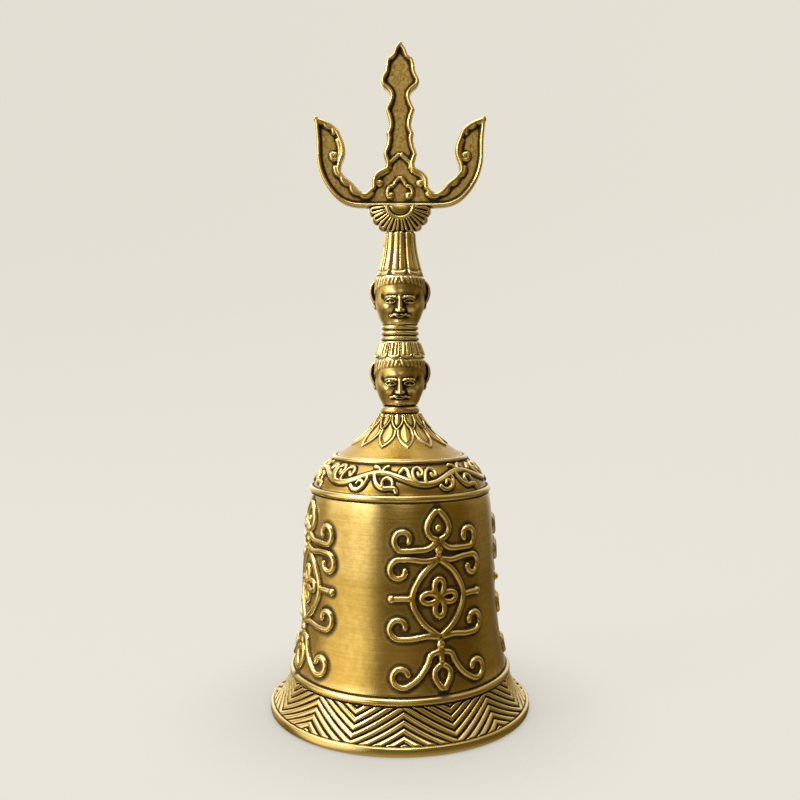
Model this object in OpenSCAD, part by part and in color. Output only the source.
// A cast brass hand bell: a flared cup with a clapper, and a stacked handle that ends in a trident.
// The origin is the centre of the mouth, on the plane that the rim stands on. +Z is up, X runs along the
// trident's width and the front of the handle faces -Y. All sizes are in millimetres.

/* [Cup] */
// Outside diameter of the mouth
mouth_d = 91; // [89:0.5:93]
// Outside diameter at the middle of the cup
waist_d = 66.4; // [65.5:0.1:67.5]
// Height of the cup, from the rim to the seat of the handle
cup_h = 101.8; // [101.4:0.1:102.2]
// Wall thickness of the cup at its waist
wall = 2.4; // [2.2:0.1:2.6]
// Radius of the raised rings round the cup
bead_r = 1.0; // [0.8:0.1:1.1]

/* [Handle] */
// Height of the ring under the lower head
neck_ring_h = 3.4; // [3:0.1:3.6]
// Height of the lower head
lower_head_h = 16.5; // [16:0.1:17]
// Height of the collar between the heads
collar_h = 11.6; // [11:0.1:12]
// Height of the upper head
upper_head_h = 17.2; // [17:0.1:18]
// Widest radius of the heads, without the ears
head_r = 9.0; // [8.8:0.1:9.2]
// Height of the fluted neck
neck_h = 15.2; // [15:0.1:16]
// Number of flutes round the neck
flutes = 8; // [6:1:12]
// Height of the half rosette under the trident
rosette_h = 9.3; // [9.1:0.1:9.5]
// Width of the half rosette
rosette_w = 22.8; // [22.4:0.2:23.6]
// Thickness of the half rosette, front to back
rosette_t = 10; // [9.6:0.1:11]
// Thickness of the trident plate
trident_t = 5; // [4.6:0.2:5.6]
// Width of the raised rim on the trident
trident_rim = 1.2; // [1:0.1:1.3]

/* [Tie rod] */
// Diameter of the rod through the handle
rod_d = 4; // [3.8:0.1:4]
// Radial gap round the rod in the handle's bores
rod_gap = 0.15; // [0.1:0.05:0.2]
// Radial gap of the rod in the sockets that it screws into
thread_gap = 0.02; // [0.01:0.01:0.05]
// Radius of the spigots that centre each handle part on the next
spigot_r = 3.6; // [3.4:0.1:3.8]
// Height of the spigots
spigot_h = 1.0; // [0.8:0.1:1.2]

/* [Clapper] */
// Diameter of the wire of the three eyes
eye_wire_d = 2.0; // [1.8:0.1:2]
// Radius of the three eyes, to the middle of the wire
eye_r = 3.4; // [3.3:0.1:3.6]
// Gap between an eye and the next
eye_gap = 0.06; // [0.04:0.01:0.1]
// Diameter of the clapper's shaft
shaft_d = 3.2; // [3:0.1:3.4]
// Diameter of the part of the shaft that goes through the ball
stud_d = 2.5; // [2.4:0.1:2.6]
// Diameter of the clapper's ball
ball_d = 18; // [17:0.5:18]
// Height of the ball's centre over the rim's plane
ball_z = 16; // [16:0.5:18]

/* [Hidden] */
$fn = 96;

mouth_r = mouth_d / 2;
waist_r = waist_d / 2;
rod_r = rod_d / 2;
wire_r = eye_wire_d / 2;
shaft_r = shaft_d / 2;
ball_r = ball_d / 2;
stud_r = stud_d / 2;

// Heights of the joints of the handle, from the bottom up
neck_ring_z = cup_h;
lower_head_z = neck_ring_z + neck_ring_h;
collar_z = lower_head_z + lower_head_h;
upper_head_z = collar_z + collar_h;
neck_z = upper_head_z + upper_head_h;
rosette_z = neck_z + neck_h;
trident_z = rosette_z + rosette_h;

// The crown's inner seat and what hangs under it
crown_seat_z = 91;
crown_seat_r = 9;
washer_t = 1;
washer_r = 6;
nut_t = 3.2;
nut_flats = 7;
hanger_shank_h = 6;
hanger_shank_r = 3.5;
hanger_top_z = crown_seat_z - washer_t - nut_t;
rod_end_z = hanger_top_z - 3.7;
socket_end_gap = 0.2;
hanger_eye_z = hanger_top_z - hanger_shank_h - eye_r + 0.6;

// The chain of eyes: each hangs in the one above it
link_pivot_z = hanger_eye_z - eye_r;
link_z = link_pivot_z + eye_wire_d + eye_gap - eye_r;
clapper_pivot_z = link_z - eye_r;
clapper_eye_z = clapper_pivot_z + eye_wire_d + eye_gap - eye_r;
ball_flat = 0.5;
ball_top_z = ball_z + ball_r - ball_flat;
ball_foot_z = ball_z - ball_r + ball_flat;
ball_nut_h = 2;
ball_nut_flats = 5;
stud_end = 0.4;

// The trident's tang, which fills the half rosette's bore
tang_r = 3.2;
tang_h = 7.4;
tang_gap = 0.05;
tang_socket_h = 6.4;
trident_pocket = 0.9;

EARS_R = 4.9;
CURVE_STEPS = 10;

// Points of a cubic curve from a to d, with handles b and c, leaving out the last one
function curve(a, b, c, d, n = CURVE_STEPS) =
    [for (i = [0:n - 1]) let (t = i / n, s = 1 - t) s*s*s*a + 3*s*s*t*b + 3*s*t*t*c + t*t*t*d];

// Points of a half round bead between a and b, which bulges to the right of the way from a to b
function bead(a, b, n = 8) =
    let (m = (a + b) / 2, v = (b - a) / 2)
    [for (i = [1:n - 1]) let (t = 180 * i / n) m - v * cos(t) + [v.y, -v.x] * sin(t)];

// A smooth line through the points of a run, with corners at its two ends
function smooth_run(p, n = 4) =
    [for (i = [0:len(p) - 2])
        let (a = p[max(i - 1, 0)], b = p[i], c = p[i + 1], d = p[min(i + 2, len(p) - 1)])
        for (j = [0:n - 1])
            let (t = j / n)
            0.5 * (2*b + (c - a)*t + (2*a - 5*b + 4*c - d)*t*t + (3*b - a - 3*c + d)*t*t*t)];

module place(z) {
    translate([0, 0, z]) children();
}

module rod_bore(z, h, gap = rod_gap) {
    place(z - 0.01) cylinder(r = rod_r + gap, h = h + 0.02);
}

// A spigot under a handle part, and the recess that takes the spigot of the part above
module spigot(z) {
    place(z - spigot_h) cylinder(r = spigot_r, h = spigot_h + 0.01);
}

module spigot_recess(z) {
    place(z - spigot_h - 0.1) cylinder(r = spigot_r + 0.05, h = spigot_h + 0.2);
}

// A wire eye round the Y axis at height z, or round the X axis if turned
module eye(z, turned = false) {
    place(z) rotate(turned ? [0, 90, 0] : [90, 0, 0])
        rotate_extrude() translate([eye_r, 0]) circle(r = wire_r);
}

// ---------------------------------------------------------------- cup

LIP_Z = 3.4;
FLARE_RING_Z = 14;
SHOULDER_Z = 76.3;
CROWN_RING_Z = 87.3;
flare_r = mouth_r - 7.4;
shoulder_r = waist_r - 2.0;
crown_ring_r = waist_r - 10.0;
seat_r = 6.9;

function cup_outside() = concat(
    [[mouth_r - 0.8, 0]],
    curve([mouth_r - 0.2, 0.5], [mouth_r, 0.9], [mouth_r, 2.0], [mouth_r - 0.3, LIP_Z], 5),
    curve([mouth_r - 1.1, LIP_Z + 0.3], [mouth_r - 3.5, 5.6], [flare_r + 1.5, 9.0],
          [flare_r + 0.2, FLARE_RING_Z - bead_r]),
    bead([flare_r + 0.2, FLARE_RING_Z - bead_r], [flare_r - 0.6, FLARE_RING_Z + bead_r]),
    curve([flare_r - 0.6, FLARE_RING_Z + bead_r], [waist_r + 2.4, 20], [waist_r + 0.2, 36], [waist_r, 50]),
    curve([waist_r, 50], [waist_r - 0.1, 58], [waist_r - 0.7, 68], [shoulder_r + 0.3, SHOULDER_Z - bead_r]),
    bead([shoulder_r + 0.3, SHOULDER_Z - bead_r], [shoulder_r - 0.2, SHOULDER_Z + bead_r]),
    curve([shoulder_r - 0.2, SHOULDER_Z + bead_r], [shoulder_r - 0.9, 80.4], [shoulder_r - 3.0, 83.6],
          [crown_ring_r + 0.8, CROWN_RING_Z - 0.6]),
    bead([crown_ring_r + 0.8, CROWN_RING_Z - 0.6], [crown_ring_r - 0.6, CROWN_RING_Z + 0.4]),
    curve([crown_ring_r - 0.6, CROWN_RING_Z + 0.4], [17.5, 90.3], [9.8, 95.5], [seat_r, cup_h]),
    [[seat_r, cup_h], [rod_r + rod_gap, cup_h]]);

function cup_inside() = concat(
    [[rod_r + rod_gap, crown_seat_z]],
    curve([crown_seat_r, crown_seat_z], [16, 89.5], [waist_r - wall - 4.2, 83.5],
          [waist_r - wall - 2.2, 75]),
    curve([waist_r - wall - 2.2, 75], [waist_r - wall - 0.8, 69.5], [waist_r - wall - 0.1, 60],
          [waist_r - wall, 50]),
    curve([waist_r - wall, 50], [waist_r - wall + 0.3, 38], [waist_r - wall + 2.4, 23],
          [waist_r - wall + 3.8, 17.5]),
    curve([waist_r - wall + 3.8, 17.5], [mouth_r - 9.5, 11.5], [mouth_r - 5.2, 5], [mouth_r - 3.4, 0]),
    [[mouth_r - 3.4, 0]]);

module bell_cup() {
    color("goldenrod") difference() {
        rotate_extrude() polygon(concat(cup_outside(), cup_inside()));
        spigot_recess(cup_h);
    }
}

// ---------------------------------------------------------------- handle

module neck_ring() {
    color("gold") difference() {
        union() {
            rotate_extrude() polygon(concat(
                [[0, neck_ring_z], [6.1, neck_ring_z]],
                curve([6.2, neck_ring_z + 0.2], [7.2, neck_ring_z + 0.8],
                      [7.1, neck_ring_z + neck_ring_h - 0.8], [6.0, neck_ring_z + neck_ring_h - 0.2]),
                [[5.9, neck_ring_z + neck_ring_h], [0, neck_ring_z + neck_ring_h]]));
            spigot(neck_ring_z);
        }
        rod_bore(neck_ring_z - spigot_h, neck_ring_h + spigot_h);
        spigot_recess(neck_ring_z + neck_ring_h);
    }
}

// A round head on its chin, with an ear at each side and a face at the front and the back
module head(z, h) {
    difference() {
        union() {
            rotate_extrude() polygon(concat(
                [[0, z]],
                curve([head_r - 2.6, z], [head_r - 1.4, z + 0.2*h], [head_r, z + 0.33*h],
                      [head_r, z + 0.55*h]),
                curve([head_r, z + 0.55*h], [head_r, z + 0.78*h], [head_r - 0.4, z + 0.92*h],
                      [head_r - 1, z + h]),
                [[head_r - 1, z + h], [0, z + h]]));
            for (side = [-1, 1])
                translate([side * (head_r - 3.3), 1.3, z + 0.64*h])
                    rotate([90, 0, 0]) cylinder(r = EARS_R, h = 2.6);
            for (face = [0, 180])
                rotate([0, 0, face]) translate([0, -head_r + 1.2, z + 0.5*h]) sphere(r = 2);
            spigot(z);
        }
        rod_bore(z - spigot_h, h + spigot_h);
        spigot_recess(z + h);
    }
}

module lower_head() {
    color("gold") head(lower_head_z, lower_head_h);
}

module upper_head() {
    color("gold") head(upper_head_z, upper_head_h);
}

module waist_collar() {
    skirt_h = collar_h / 2;
    ring_h = (collar_h - skirt_h) / 3;
    color("gold") difference() {
        union() {
            rotate_extrude() polygon(concat(
                [[0, collar_z], [8.8, collar_z]],
                curve([8.9, collar_z + 0.6], [8.5, collar_z + 2.2], [7.7, collar_z + 3.8],
                      [6.9, collar_z + skirt_h], 6),
                [for (i = [0:2])
                    each bead([6.5 - 0.15*i, collar_z + skirt_h + i*ring_h],
                              [6.4 - 0.15*i, collar_z + skirt_h + (i + 1)*ring_h], 6)],
                [[6.0, collar_z + collar_h], [0, collar_z + collar_h]]));
            spigot(collar_z);
        }
        rod_bore(collar_z - spigot_h, collar_h + spigot_h);
        spigot_recess(collar_z + collar_h);
    }
}

module fluted_neck() {
    flute_r = 0.5;
    flute_tilt = 8;
    top_r = 5.3;
    foot_r = 8.1;
    color("gold") difference() {
        union() {
            rotate_extrude() polygon(concat(
                [[0, neck_z], [foot_r - 0.5, neck_z]],
                curve([foot_r, neck_z + 0.8], [foot_r - 0.9, neck_z + 4.5], [top_r + 0.3, neck_z + 8],
                      [top_r, neck_z + neck_h]),
                [[top_r, neck_z + neck_h], [0, neck_z + neck_h]]));
            spigot(neck_z);
        }
        rod_bore(neck_z - spigot_h, neck_h + spigot_h);
        spigot_recess(neck_z + neck_h);
        for (i = [0:flutes - 1])
            rotate([0, 0, 360 * (i + 0.5) / flutes]) translate([foot_r - 1.6, 0, neck_z + 2.5])
                rotate([0, -flute_tilt, 0]) cylinder(r = flute_r, h = neck_h);
    }
}

module half_rosette() {
    disc_r = rosette_h + 0.9;
    color("gold") difference() {
        union() {
            intersection() {
                place(trident_z - 0.1) scale([rosette_w / (2*disc_r + 0.8), 1, 1]) rotate([90, 0, 0])
                    rotate_extrude() polygon([[0, -rosette_t/2], [5, -rosette_t/2], [disc_r, -3],
                                              [disc_r + 0.4, 0], [disc_r, 3], [5, rosette_t/2],
                                              [0, rosette_t/2]]);
                translate([-mouth_r, -mouth_r, rosette_z]) cube([mouth_d, mouth_d, rosette_h]);
            }
            spigot(rosette_z);
        }
        rod_bore(rosette_z - spigot_h, rosette_h);
        place(trident_z - tang_h - 0.1) cylinder(r = tang_r + tang_gap, h = tang_h + 0.2);
    }
}

// The right half of the trident's outline, over its base, as runs that meet at corners
TRIDENT_RUNS = [
    [[0, 0], [12, 0]],
    [[12, 0], [17, 0.4], [21, 2], [24, 4.6], [26.5, 8], [28.4, 12], [29.5, 17], [29.7, 24], [30.5, 32.4]],
    [[30.5, 32.4], [25.4, 30.4], [22.3, 28], [20.9, 25.4]],
    [[20.9, 25.4], [19.7, 22], [19.6, 18.6], [20.8, 15.6]],
    [[20.8, 15.6], [21, 13.2], [19.3, 10.8], [16.9, 8.9], [14.6, 6.3], [12.3, 5.3], [9.9, 7.4]],
    [[9.9, 7.4], [9.9, 9.8], [9, 11.8], [7.4, 13.2], [5.2, 14.3]],
    [[5.2, 14.3], [5.1, 16.2], [5.9, 19], [4.9, 22], [4.5, 24.6], [4.9, 26.2]],
    [[4.9, 26.2], [3.9, 28.8], [4.3, 31.8], [5.4, 34.7]],
    [[5.4, 34.7], [4.0, 37.6], [3.6, 40], [4.8, 41.8], [6.5, 43]],
    [[6.5, 43], [6.9, 45.2], [5.5, 48.4], [5.2, 51], [4.6, 53]],
    [[4.6, 53], [2.9, 54.2], [1.9, 56.6], [0, 59.1]]];
TRIDENT_H = 59.1;

trident_half = [for (run = TRIDENT_RUNS) each smooth_run(run, len(run) > 2 ? 3 : 1)];

module trident_outline() {
    right = concat(trident_half, [[0, TRIDENT_H]]);
    union() {
        polygon(right);
        mirror([1, 0]) polygon(right);
    }
}

module trident() {
    color("goldenrod") difference() {
        union() {
            place(trident_z) rotate([90, 0, 0]) translate([0, 0, -trident_t/2])
                linear_extrude(trident_t) trident_outline();
            place(trident_z - tang_h) cylinder(r = tang_r, h = tang_h + 0.01);
        }
        for (face = [-1, 1])
            place(trident_z) rotate([90, 0, 0]) translate([0, 0, face * trident_t/2])
                linear_extrude(2 * trident_pocket, center = true) offset(delta = -trident_rim)
                    trident_outline();
        rod_bore(trident_z - tang_h, tang_socket_h, thread_gap);
    }
}

// ---------------------------------------------------------------- rod and clapper

module tie_rod() {
    rod_top_z = trident_z - tang_h + tang_socket_h - socket_end_gap;
    color("silver") place(rod_end_z) cylinder(r = rod_r, h = rod_top_z - rod_end_z);
}

module crown_washer() {
    color("silver") difference() {
        place(crown_seat_z - washer_t) cylinder(r = washer_r, h = washer_t);
        rod_bore(crown_seat_z - washer_t, washer_t);
    }
}

module crown_nut() {
    nut_z = crown_seat_z - washer_t - nut_t;
    color("silver") difference() {
        place(nut_z) cylinder(r = nut_flats / sqrt(3), h = nut_t, $fn = 6);
        rod_bore(nut_z, nut_t, thread_gap);
    }
}

module hanger_eye() {
    color("darkgoldenrod") difference() {
        union() {
            place(hanger_top_z - hanger_shank_h) cylinder(r = hanger_shank_r, h = hanger_shank_h);
            eye(hanger_eye_z);
        }
        place(rod_end_z - socket_end_gap)
            cylinder(r = rod_r + thread_gap, h = hanger_top_z - rod_end_z + socket_end_gap + 0.01);
    }
}

module swing_link() {
    color("silver") eye(link_z, turned = true);
}

module clapper_shaft() {
    shaft_top_z = clapper_eye_z - eye_r + 0.4;
    stud_end_z = ball_foot_z - ball_nut_h - stud_end;
    color("darkgoldenrod") union() {
        eye(clapper_eye_z);
        place(ball_top_z) cylinder(r = shaft_r, h = shaft_top_z - ball_top_z);
        place(stud_end_z) cylinder(r = stud_r, h = ball_top_z - stud_end_z + 0.01);
    }
}

module clapper_ball() {
    color("goldenrod") difference() {
        intersection() {
            place(ball_z) sphere(r = ball_r);
            place(ball_foot_z) cylinder(r = ball_d, h = ball_top_z - ball_foot_z);
        }
        place(ball_z - ball_r) cylinder(r = stud_r + thread_gap, h = ball_d);
    }
}

module clapper_nut() {
    color("darkgoldenrod") difference() {
        place(ball_foot_z - ball_nut_h) cylinder(r = ball_nut_flats / sqrt(3), h = ball_nut_h, $fn = 6);
        place(ball_foot_z - ball_nut_h - 0.01) cylinder(r = stud_r + thread_gap, h = ball_nut_h + 0.02);
    }
}

bell_cup();
crown_washer();
crown_nut();
tie_rod();
neck_ring();
lower_head();
waist_collar();
upper_head();
fluted_neck();
half_rosette();
trident();
hanger_eye();
swing_link();
clapper_shaft();
clapper_ball();
clapper_nut();
